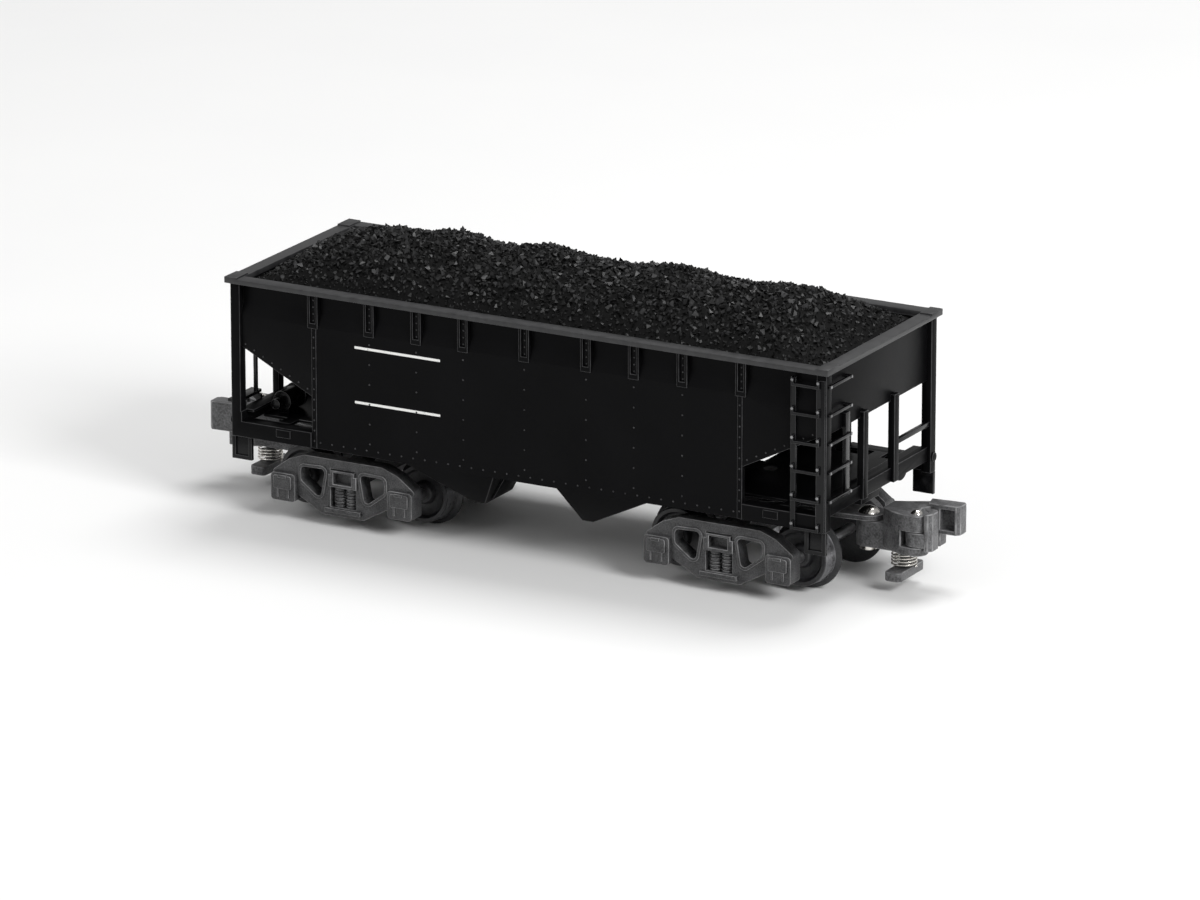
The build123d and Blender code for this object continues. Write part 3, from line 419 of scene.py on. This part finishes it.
EDGE_RADIUS = {
    "body_shell": 0.12, "underframe": 0.12, "hopper_doors": 0.08, "corner_steps": 0.10,
    "end_grab_a": 0.15, "brake_step": 0.08, "brake_cylinder": 0.12, "hand_brake_housing": 0.15,
    "hand_brake_wheel": 0.10,
}
for end in "ab":
    for node, radius in (("end_frame", 0.14), ("side_ladder", 0.08), ("end_ladder", 0.08),
                         ("sideframe_near", 0.10), ("sideframe_far", 0.10), ("truck_bolster", 0.15),
                         ("coupler_body", 0.20), ("knuckle", 0.20), ("lift_pin", 0.18)):
        EDGE_RADIUS[f"{node}_{end}"] = radius
rounded = {node: round_edges(node, radius) for node, radius in EDGE_RADIUS.items()}
print(len(rounded), "pieces,", sum(rounded.values()), "edges rounded")

# %% Painted highlight on the rim
# The top 1.5 mm of the shell faces the light above, so it takes a lighter grey: a painted highlight.
RIM_HIGHLIGHT_DEPTH = 1.5
MAIN, RIM_HIGHLIGHT = 0, 2
rim_highlight_faces = 0
for face in bpy.data.objects["body_shell_rounded"].data.polygons:
    if face.center.z / MM > shell_high[2] - RIM_HIGHLIGHT_DEPTH and face.material_index == MAIN:
        face.material_index = RIM_HIGHLIGHT
        rim_highlight_faces += 1
print(rim_highlight_faces, "faces of the rim are rubbed")

# %% [markdown]
# Wheels are turned on a lathe, and Blender's spin tool is that lathe: an outline of half the wheel is
# drawn as a chain of points and spun round the axle. A finer outline than the CAD one gives the flange its
# round top, the tread its cone and the web its dish. The tread is then picked out by its radius and given
# a worn bright finish, because rails polish nothing else.

# %% A lathe
TURNED_SMOOTH = math.radians(40)


def turned(name, outline, middle, axis, steps):
    """Spin an outline of (along the axis, radius), in millimetres, round an axis through middle."""
    axis = Vector(axis)
    outwards = axis.orthogonal().normalized()
    points = [(Vector(middle) + axis * along + outwards * radius) * MM for along, radius in outline]
    bpy.ops.object.select_all(action="DESELECT")
    bpy.ops.mesh.primitive_plane_add(size=MM)
    piece = bpy.context.object
    piece.name = name
    bpy.ops.object.mode_set(mode="EDIT")
    bpy.ops.mesh.select_mode(type="VERT")
    bpy.ops.mesh.select_all(action="SELECT")
    bpy.ops.mesh.merge(type="CENTER")
    bpy.ops.transform.translate(value=points[0])
    for before, after in zip(points, points[1:]):
        bpy.ops.mesh.extrude_region_move(TRANSFORM_OT_translate={"value": after - before})
    bpy.ops.mesh.select_all(action="SELECT")
    bpy.ops.mesh.spin(steps=steps, angle=math.tau, center=Vector(middle) * MM, axis=axis)
    bpy.ops.mesh.select_all(action="SELECT")
    bpy.ops.mesh.remove_doubles(threshold=WELD)
    bpy.ops.mesh.normals_make_consistent(inside=False)
    bpy.ops.object.mode_set(mode="OBJECT")
    bpy.ops.object.shade_smooth_by_angle(angle=TURNED_SMOOTH)
    return piece


def join(first, *others):
    """Join pieces into the first one."""
    only(first)
    for piece in others:
        piece.select_set(True)
    bpy.ops.object.join()
    return first


print("the lathe is ready")

# %% Outline of a wheel
WHEEL_WIDTH = 5.2
FLANGE_DEPTH = 1.2
axle_low, axle_high = box_mm("axle_inner_a")
axle_radius = (axle_high[2] - axle_low[2]) / 2
wheels_low, wheels_high = box_mm("wheels_inner_a")
flange_radius = (wheels_high[2] - wheels_low[2]) / 2
tread_radius = flange_radius - FLANGE_DEPTH
back_face = wheels_high[1] - WHEEL_WIDTH
front_face = wheels_high[1]
wheel_outline = [
    (back_face, axle_radius), (back_face, tread_radius), (back_face + 0.15, flange_radius - 0.35),
    (back_face + 0.45, flange_radius), (back_face + 0.8, flange_radius - 0.05),
    (back_face + 1.15, tread_radius + 0.55), (back_face + 1.3, tread_radius + 0.15),
    (back_face + 1.6, tread_radius), (front_face - 0.2, tread_radius - 0.18),
    (front_face, tread_radius - 0.35), (front_face, tread_radius - 1.1),
    (front_face - 0.25, tread_radius - 1.3), (front_face - 1.0, tread_radius - 1.6),
    (front_face - 1.5, tread_radius - 2.6), (front_face - 1.6, axle_radius + 1.5),
    (front_face - 1.1, axle_radius + 1.15), (front_face - 0.55, axle_radius + 1.0),
    (front_face - 0.4, axle_radius + 0.8), (front_face - 0.4, axle_radius), (back_face, axle_radius),
]
print("flange radius", round(flange_radius, 2), "mm, tread radius", round(tread_radius, 2), "mm")

# %% Worn treads
TREAD_REACH = (tread_radius - 0.2, tread_radius + 0.45)
FACING_SIDEWAYS = 0.8
worn_tread = Finish("worn_tread", (0.33, 0.33, 0.34), 0.25, metallic=1.0)
rail_marks = worn_tread.grain(0.6, detail=3.0)
worn_tread.set("Base Color", worn_tread.blend(rail_marks, (0.12, 0.12, 0.125), (0.26, 0.26, 0.27)))
worn_tread.set("Roughness", rail_marks * 0.2 + 0.2)


def is_tread(face, centre):
    """Say whether a face of a wheel with this centre is one that the rail touches."""
    reach = math.hypot(face.center.x - centre.x, face.center.z - centre.z) / MM
    return TREAD_REACH[0] < reach < TREAD_REACH[1] and abs(face.normal.y) < FACING_SIDEWAYS


print(worn_tread.material.name)

# %% Wheels
WHEEL_STEPS = 72
for node in [f"wheels_{place}_{end}" for place in ("inner", "outer") for end in "ab"]:
    low, high = box_mm(node)
    middle = ((low[0] + high[0]) / 2, 0, (low[2] + high[2]) / 2)
    far_wheel = turned(node + "_far", wheel_outline, middle, (0, 1, 0), WHEEL_STEPS)
    near_wheel = turned(node + "_near", wheel_outline, middle, (0, -1, 0), WHEEL_STEPS)
    wheels = join(near_wheel, far_wheel)
    wheels.name = node + "_turned"
    coat(wheels, wheel_black, worn_tread)
    stands_for(wheels, node)
    for face in wheels.data.polygons:
        if is_tread(face, Vector(middle) * MM):
            face.material_index = 1
    print(wheels.name, len(wheels.data.polygons), "faces")

# %% [markdown]
# The coupler's spring is a few open turns of bright wire under the shank. A ring standing on its edge is
# carried round and up by the Screw modifier, and its two ends are filled. It is squeezed as the pin under
# it rises, so it rides on the coupler.

# %% Lift pin springs
WIRE = 0.45
WIRE_SIDES = 12
TURNS = 4.5
STEPS_PER_TURN = 26
for end in "ab":
    low, high = box_mm(f"lift_spring_{end}")
    coil_radius = (high[0] - low[0] - WIRE) / 2
    height = high[2] - low[2]
    middle_x = (low[0] + high[0]) / 2
    bpy.ops.object.select_all(action="DESELECT")
    bpy.ops.mesh.primitive_circle_add(vertices=WIRE_SIDES, radius=WIRE / 2 * MM)
    spring = bpy.context.object
    spring.name = f"lift_spring_{end}_wound"
    bpy.ops.object.mode_set(mode="EDIT")
    bpy.ops.transform.rotate(value=math.pi / 2, orient_axis="X", center_override=(0, 0, 0))
    bpy.ops.transform.translate(value=(coil_radius * MM, 0, 0))
    bpy.ops.object.mode_set(mode="OBJECT")
    winding = spring.modifiers.new("winding", "SCREW")
    winding.angle = math.tau * TURNS
    winding.screw_offset = (height - WIRE) * MM
    winding.steps = winding.render_steps = round(STEPS_PER_TURN * TURNS)
    winding.use_smooth_shade = True
    bpy.ops.object.modifier_apply(modifier="winding")
    bpy.ops.object.mode_set(mode="EDIT")
    bpy.ops.mesh.select_all(action="SELECT")
    bpy.ops.mesh.remove_doubles(threshold=WELD)
    bpy.ops.mesh.select_all(action="SELECT")
    bpy.ops.mesh.fill_holes(sides=0)
    bpy.ops.mesh.normals_make_consistent(inside=False)
    bpy.ops.transform.translate(value=Vector((middle_x, 0, low[2] + WIRE / 2)) * MM)
    bpy.ops.object.mode_set(mode="OBJECT")
    coat(spring, nickel)
    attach(spring, f"coupler_{end}")
    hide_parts(f"lift_spring_{end}")
    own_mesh(spring)
print("springs wound,", TURNS, "turns")

# %% [markdown]
# Rivets are tiny domes, about three hundred of them, so each is only a few faces. One is turned on the
# lathe, and copies are placed by a function that multiplies its corners by a matrix for each place. Rows
# follow the seams: down each stake and the sheet below it, along the lower edge, up the end seams and
# along the slopes.

# %% Placing many copies of one shape
def place_copies(name, shapes, places):
    """One mesh that holds a copy of a shape at each place: places are (number of the shape, matrix)."""
    corners, faces = [], []
    for number, matrix in places:
        start = len(corners)
        shape = shapes[number].data
        corners.extend(matrix @ corner.co for corner in shape.vertices)
        faces.extend([start + corner for corner in face.vertices] for face in shape.polygons)
    mesh = bpy.data.meshes.new(name)
    mesh.from_pydata(corners, [], faces)
    mesh.update()
    piece = bpy.data.objects.new(name, mesh)
    bpy.context.scene.collection.objects.link(piece)
    return piece


def facing(direction, x, y, z):
    """A matrix that stands a shape made along +Z on a face with this outward direction, at a place in mm."""
    turn = Vector(direction).to_track_quat("Z", "Y").to_matrix().to_4x4()
    return Matrix.Translation(Vector((x, y, z)) * MM) @ turn


HALF_TURN = Matrix.Rotation(math.pi, 4, "Z")


def both_sides(places):
    """The same places again on the other side of the car, half a turn round."""
    return places + [(number, HALF_TURN @ matrix) for number, matrix in places]


RIVET = 0.24
RIVET_OUTLINE = [(-0.05, 0), (-0.05, RIVET), (0.08, RIVET * 0.8), (0.15, RIVET * 0.35), (0.16, 0)]
rivet = turned("rivet", RIVET_OUTLINE, (0, 0, 0), (0, 0, 1), 7)
print("one rivet has", len(rivet.data.polygons), "faces")

# %% Rivets of the body
def spaced(first, pitch, count):
    """Evenly spaced places along a row, in millimetres."""
    return [first + pitch * number for number in range(count)]


SHEET_INSET = 1.6
STAKES = [0.0] + [sign * x for x in (14.8, 26.2, 37.7) for sign in (-1, 1)]
END_STAKES = [-51.5, 51.5]
SEAMS = [-51.3, 51.3]
GROOVE_BELOW_SHEET = 0.2
SEAM_PROUD = 0.15
SILL_Z = 17.7
ABOVE_SILL = 1.4
SLOPE_FOOT = (51.9, 29.1)
SLOPE_HEAD = (69.4, 37.9)
SLOPE_RIVETS = 8
ABOVE_SLOPE = 1.1
STAKE_RIVETS = (46.0, 47.5, 49.0, 50.5)
SHEET_RIVETS = spaced(20.6, 4.4, 6)
SEAM_RIVETS = spaced(19.4, 2.3, 11)
SILL_RIVETS = spaced(-49.9, 2.85, 36)
side_face = shell_high[1] - SHEET_INSET
places = []
for x in STAKES + END_STAKES:
    places += [(x, side_face - GROOVE_BELOW_SHEET, z) for z in STAKE_RIVETS]
for x in STAKES:
    places += [(x, side_face, z) for z in SHEET_RIVETS]
for x in SEAMS:
    places += [(x, side_face + SEAM_PROUD, z) for z in SEAM_RIVETS]
places += [(x, side_face, SILL_Z + ABOVE_SILL) for x in SILL_RIVETS]
for side in (-1, 1):
    for row in range(SLOPE_RIVETS):
        share = (row + 0.5) / SLOPE_RIVETS
        x = SLOPE_FOOT[0] + (SLOPE_HEAD[0] - SLOPE_FOOT[0]) * share
        z = SLOPE_FOOT[1] + (SLOPE_HEAD[1] - SLOPE_FOOT[1]) * share + ABOVE_SLOPE
        places.append((side * x, side_face, z))
rivet_places = both_sides([(0, facing((0, -1, 0), x, -y, z)) for x, y, z in places])
body_rivets = place_copies("body_rivets", [rivet], rivet_places)
# The rivet heads take the painted glint: a lighter grey that stands for the light they catch.
coat(body_rivets, painted_glint_black)
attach(body_rivets, "car")
print(len(rivet_places), "rivets")

# %% Bolts of the ladders
BOLT = 0.34
BOLT_OUTLINE = [(-0.05, 0), (-0.05, BOLT), (0.1, BOLT), (0.16, BOLT * 0.7), (0.17, 0)]
BOLT_SINK = 0.02
RUNG_PITCH = 6.2
TOP_SIDE_RUNG = 50.1
TOP_END_RUNG = 49.1
bolt = turned("bolt", BOLT_OUTLINE, (0, 0, 0), (0, 0, 1), 6)
ladder_low, ladder_high = box_mm("side_ladder_a")
end_low, end_high = box_mm("end_ladder_a")
bolt_places = []
for z in spaced(TOP_SIDE_RUNG, -RUNG_PITCH, 6):
    for x in (ladder_low[0] + 0.6, ladder_high[0] - 1.4):
        bolt_places.append((0, facing((0, -1, 0), x, ladder_low[1] + BOLT_SINK, z)))
for z in spaced(TOP_END_RUNG, -RUNG_PITCH, 5):
    for y in (end_low[1] + 0.5, end_high[1] - 0.5):
        bolt_places.append((0, facing((1, 0, 0), end_high[0] - BOLT_SINK, y, z)))
ladder_bolts = place_copies("ladder_bolts", [bolt], both_sides(bolt_places))
# The bolts are black like the ladders; their paler grey is a painted glint.
coat(ladder_bolts, painted_glint_grey)
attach(ladder_bolts, "car")
for pattern in (rivet, bolt):
    bpy.data.objects.remove(pattern)
print(2 * len(bolt_places), "bolts")

# %% [markdown]
# A pair of plain white bars is printed on each side. Print has almost no thickness, so each bar is a flat
# strip that stands three hundredths of a millimetre off the sheet, and its paint is a little uneven like
# pad printing.

# %% Printed bars
print_white = Finish("white_print", (0.80, 0.80, 0.78), 0.55)
ink = print_white.grain(0.7, detail=4.0, rough=0.65)
thin_ink, full_ink = (0.50, 0.50, 0.49), (0.82, 0.82, 0.80)
print_white.set("Base Color", print_white.blend(ink.above(0.36, 0.12), thin_ink, full_ink))
BAR_FROM, BAR_TO = -41.3, -20.4
BAR_HEIGHTS = (41.6, 29.5)
BAR_THICKNESS = 0.06
BAR_WIDTH = 0.55
BAR_CORNER = 0.08
bars = []
for z in BAR_HEIGHTS:
    place = Vector(((BAR_FROM + BAR_TO) / 2, -side_face, z)) * MM
    bpy.ops.object.select_all(action="DESELECT")
    bpy.ops.mesh.primitive_cube_add(size=MM, location=place)
    bar = bpy.context.object
    bpy.ops.object.mode_set(mode="EDIT")
    bpy.ops.transform.resize(value=(BAR_TO - BAR_FROM, BAR_THICKNESS, BAR_WIDTH))
    choose_edges(bar, lambda edge: abs(edge.verts[0].co.y - edge.verts[1].co.y) > 0.01 * MM)
    bpy.ops.mesh.bevel(offset=BAR_CORNER * MM, segments=3, affect="EDGES")
    bpy.ops.object.mode_set(mode="OBJECT")
    bpy.ops.object.transform_apply(location=True, rotation=True, scale=True)
    bars.append(bar)
bar_places = both_sides([(number, Matrix.Identity(4)) for number in range(len(bars))])
printed_bars = place_copies("printed_bars", bars, bar_places)
coat(printed_bars, print_white)
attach(printed_bars, "car")
for bar in bars:
    bpy.data.objects.remove(bar)
print(len(bar_places), "bars")

# %% [markdown]
# The load is broken coal in four low heaps. A single bumpy surface never looks like coal, because coal is
# lumps with flat broken faces and dark gaps between them. So a smooth heap is shaped first, and thousands
# of lumps are laid over it: a few broken shapes, each turned and sized at random with a fixed seed.

# %% Shape of the heap
load_low, load_high = box_mm("coal_load")
HUMPS = ((-36.0, 1.7), (-11.0, 1.7), (19.0, 1.6), (48.0, 0.9))
HUMP_WIDTH = 7.5
CREST_Z = 58.9
EDGE_Z = load_low[2] + 5.4
LEVEL_TO = 50.0
DENT_SCALE = 0.11
DENT_DEPTH = 0.7


def heap_z(x, y):
    """Height of the smooth heap in millimetres: a crest with four humps that falls to the rim all round."""
    crest = CREST_Z + sum(rise * math.exp(-((x - place) / HUMP_WIDTH) ** 2) for place, rise in HUMPS)
    across = 1 - min(1.0, abs(y) / load_high[1]) ** 2.1
    along = 1 - max(0.0, (abs(x) - LEVEL_TO) / (load_high[0] - LEVEL_TO)) ** 2.2
    dents = noise.noise(Vector((x * DENT_SCALE, y * DENT_SCALE, 3.0))) * DENT_DEPTH
    return EDGE_Z + (crest - EDGE_Z + dents) * across ** 0.85 * max(0.0, along)


print("the crest is at", CREST_Z, "mm, with", len(HUMPS), "humps")

# %% The heap
bpy.ops.object.select_all(action="DESELECT")
bpy.ops.mesh.primitive_grid_add(x_subdivisions=140, y_subdivisions=46, size=MM)
heap = bpy.context.object
heap.name = "coal_heap"
bpy.ops.object.mode_set(mode="EDIT")
bpy.ops.transform.resize(value=(2 * load_high[0], 2 * load_high[1], 1))
corners = bmesh.from_edit_mesh(heap.data)
for corner in corners.verts:
    corner.co.z = heap_z(corner.co.x / MM, corner.co.y / MM) * MM
bmesh.update_edit_mesh(heap.data)
bpy.ops.mesh.select_all(action="SELECT")
bpy.ops.mesh.region_to_loop()
bpy.ops.mesh.extrude_edges_move()
bpy.ops.transform.resize(value=(1, 1, 0), center_override=(0, 0, load_low[2] * MM))
bpy.ops.mesh.fill()
bpy.ops.mesh.select_all(action="SELECT")
bpy.ops.mesh.normals_make_consistent(inside=False)
bpy.ops.object.mode_set(mode="OBJECT")
coat(heap, coal_dust)
stands_for(heap, "coal_load")
print("heap reaches", round(max(corner.co.z for corner in heap.data.vertices) / MM, 1), "mm")

# %% Broken lumps
random.seed(64)
LUMP_RADIUS = 1.05
LUMP_HEIGHT = 1.5
BREAK_AT = 0.45


def random_direction():
    """A unit vector that points anywhere."""
    return Vector([random.uniform(-1, 1) for _ in range(3)]).normalized()


lumps = []
for sides in (3, 4, 5, 4, 3, 5):
    bpy.ops.object.select_all(action="DESELECT")
    blunt = random.uniform(0.05, 0.4)
    bpy.ops.mesh.primitive_cone_add(vertices=sides, radius1=LUMP_RADIUS * MM, radius2=blunt * MM,
                                    depth=LUMP_HEIGHT * MM)
    lump = bpy.context.object
    bpy.ops.object.mode_set(mode="EDIT")
    stretch = [random.uniform(least, most) for least, most in ((0.85, 1.1), (0.75, 1.0), (0.8, 1.0))]
    bpy.ops.transform.resize(value=stretch)
    bpy.ops.mesh.select_all(action="SELECT")
    normal = random_direction()
    bpy.ops.mesh.bisect(plane_co=normal * BREAK_AT * MM, plane_no=normal, use_fill=True, clear_outer=True)
    bpy.ops.object.mode_set(mode="OBJECT")
    lumps.append(lump)
print("faces of the lumps:", [len(lump.data.polygons) for lump in lumps])

# %% Laying the lumps
JITTER = 0.45
RIM_BAND = 7.0


def lay_lumps(name, finish, spacing, smallest, largest, sink):
    """Lay one layer of lumps over the heap, spacing millimetres apart. They are smaller near the rim."""
    laid = []
    for row in range(int(2 * load_high[1] / spacing)):
        for column in range(int(2 * load_high[0] / spacing)):
            x = load_low[0] + (column + 0.5 + random.uniform(-JITTER, JITTER)) * spacing
            y = load_low[1] + (row + 0.5 + random.uniform(-JITTER, JITTER)) * spacing
            inwards = min(load_high[0] - abs(x), load_high[1] - abs(y)) / RIM_BAND
            size = random.uniform(smallest, largest) * max(0.5, min(1.0, 0.5 + 0.5 * inwards))
            x = max(-load_high[0] + size, min(load_high[0] - size, x))
            y = max(-load_high[1] + size, min(load_high[1] - size, y))
            z = min(heap_z(x, y) + size * sink, load_high[2] - size * 1.2)
            turn = Matrix.Rotation(random.uniform(0, math.tau), 4, random_direction())
            place = Matrix.Translation(Vector((x, y, z)) * MM) @ turn @ Matrix.Scale(size, 4)
            laid.append((random.randrange(len(lumps)), place))
    piece = place_copies(name, lumps, laid)
    coat(piece, finish)
    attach(piece, "load")
    print(name, len(laid), "lumps", len(piece.data.polygons), "faces")


lay_lumps("slack", coal_slack, spacing=1.0, smallest=0.40, largest=0.65, sink=0.1)
lay_lumps("lumps", coal_lump, spacing=1.55, smallest=0.42, largest=0.95, sink=0.3)
for lump in lumps:
    bpy.data.objects.remove(lump)

# %% [markdown]
# The floor is one wide pale sheet, and the light is a large soft box over each shoulder with a third
# above. The side of the car stays dark and the right-hand end is lighter, so the strongest box is on the
# right. A black car shows its shape through reflections, so the boxes are big and their edges are what the
# corners pick up.

# %% Floor
FLOOR_SIZE = 6.0
FLOOR_Z = -0.05 * MM
bpy.ops.mesh.primitive_grid_add(x_subdivisions=8, y_subdivisions=8, size=FLOOR_SIZE, location=(0, 0, FLOOR_Z))
floor = bpy.context.object
floor.name = "floor"
paper = Finish("pale_paper", (0.80, 0.80, 0.80), 0.7)
paper.set("Base Color", paper.blend(paper.grain(60.0), (0.79, 0.79, 0.79), (0.82, 0.82, 0.815)))
floor.data.materials.append(paper.material)
print(floor.name, FLOOR_SIZE, "m wide")

# %% Lights and sky
AIM = Vector((0, 0, 0.03))
SKY_STRENGTH = 0.42


def soft_box(name, place, size, power):
    """A square area light at a place in metres, aimed at the car."""
    light = bpy.data.lights.new(name, "AREA")
    light.size = size
    light.energy = power
    lamp = bpy.data.objects.new(name, light)
    bpy.context.scene.collection.objects.link(lamp)
    lamp.location = place
    lamp.rotation_euler = (Vector(place) - AIM).to_track_quat("Z", "Y").to_euler()


soft_box("right_box", (1.1, -0.4, 0.8), size=0.5, power=14.0)
soft_box("left_box", (-0.9, -1.1, 0.9), size=0.7, power=5.0)
soft_box("top_box", (0.1, 0.5, 1.2), size=0.6, power=9.0)
sky = bpy.data.worlds.new("sky")
sky.use_nodes = True
glow = sky.node_tree.nodes["Background"]
glow.inputs["Color"].default_value = (1.0, 1.0, 1.0, 1.0)
glow.inputs["Strength"].default_value = SKY_STRENGTH
bpy.context.scene.world = sky
bpy.context.scene.view_settings.view_transform = "Standard"
print("three soft boxes and a white sky")
